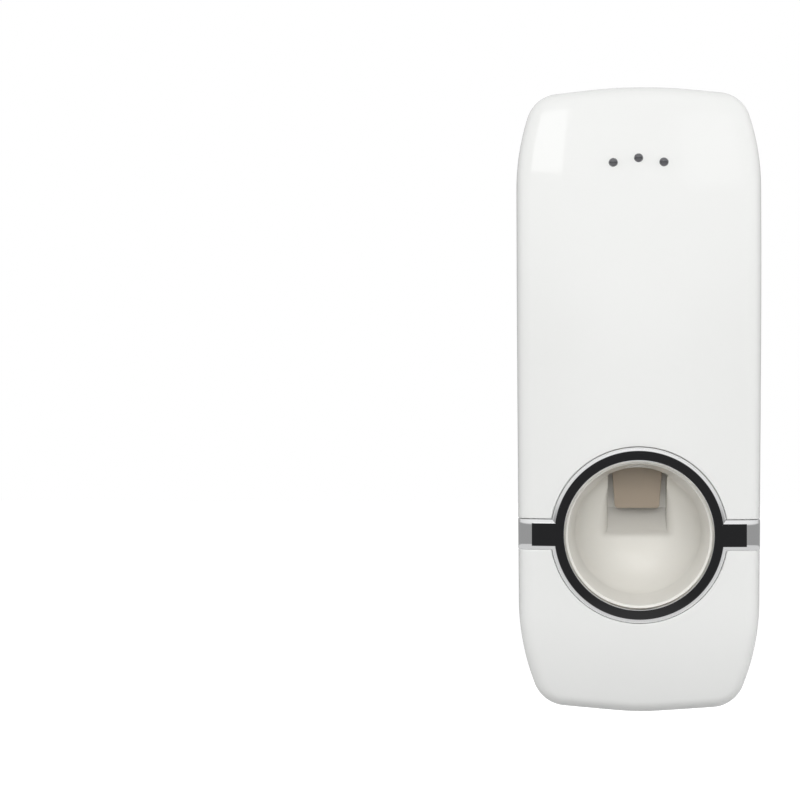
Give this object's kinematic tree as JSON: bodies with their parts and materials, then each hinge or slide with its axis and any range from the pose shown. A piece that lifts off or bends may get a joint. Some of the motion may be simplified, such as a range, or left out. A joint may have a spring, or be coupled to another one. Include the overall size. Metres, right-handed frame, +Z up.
{
  "type": "wall-mounted toothpaste dispenser",
  "caption": "Tall rounded wall dispenser that hangs on a keyhole plate: a brush pushed into its round port swings a lever and pumps paste from an upturned tube behind a lift-off cover.",
  "frame": {"origin": "Middle of the wall plate's adhesive face, on the wall plane.", "axes": "+X to the right as seen from the front, +Y into the wall, +Z up."},
  "size_m": [0.0724, 0.0588, 0.186],
  "materials": {
    "shell_white": "glossy moulded ABS",
    "liner_white": "satin moulded ABS",
    "chrome_trim": "bright plated plastic",
    "black_gloss": "high gloss black",
    "lever_taupe": "satin moulded acetal",
    "works_grey": "plain moulded plastic",
    "silicone": "soft translucent silicone",
    "steel": "zinc-plated steel",
    "foam_tape": "double-sided foam tape"
  },
  "bodies": {
    "wall_mount": {"adhesive_pad": "foam_tape", "wall_plate": "works_grey"},
    "casing": {"rear_housing": "shell_white", "inner_frame": "works_grey", "port_sleeve": "works_grey", "frame_screws": "steel", "lower_cover": "shell_white", "cover_screws": "steel", "trim_bezel": "chrome_trim", "trim_inlay": "black_gloss", "port_liner": "liner_white", "pump_body": "works_grey", "pump_cap": "works_grey", "pump_screws": "steel", "duct_plug": "works_grey", "tube_socket": "silicone", "inlet_valve": "silicone", "outlet_nozzle": "works_grey", "outlet_valve": "silicone", "lever_pin": "steel", "return_spring": "steel"},
    "cover": {"upper_cover": "shell_white", "trim_studs": "chrome_trim"},
    "lever": {"push_lever": "lever_taupe"},
    "plunger": {"piston": "works_grey", "piston_seal": "silicone"}
  },
  "joints": [
    {"name": "unhook_lift", "type": "slide", "parent": "wall_mount", "child": "casing", "axis": [0, 0, 1], "range_m": [0, 0.01]},
    {"name": "cover_slide", "type": "slide", "parent": "casing", "child": "cover", "axis": [0, 0, 1], "range_m": [0, 0.135]},
    {"name": "lever_swing", "type": "hinge", "parent": "casing", "child": "lever", "pos_m": [0, -0.021, -0.0492], "axis": [1, 0, 0], "range_deg": [0, 16], "stiffness_Nm_per_rad": 0.15, "springref_deg": -11.46},
    {"name": "piston_stroke", "type": "slide", "parent": "casing", "child": "plunger", "axis": [0, -1, 0], "range_m": [0, 0.00279], "deforming": ["return_spring"]}
  ],
  "couplings": [
    {"joint": "lever_swing", "follows": "piston_stroke", "rad_per_m": 100}
  ]
}
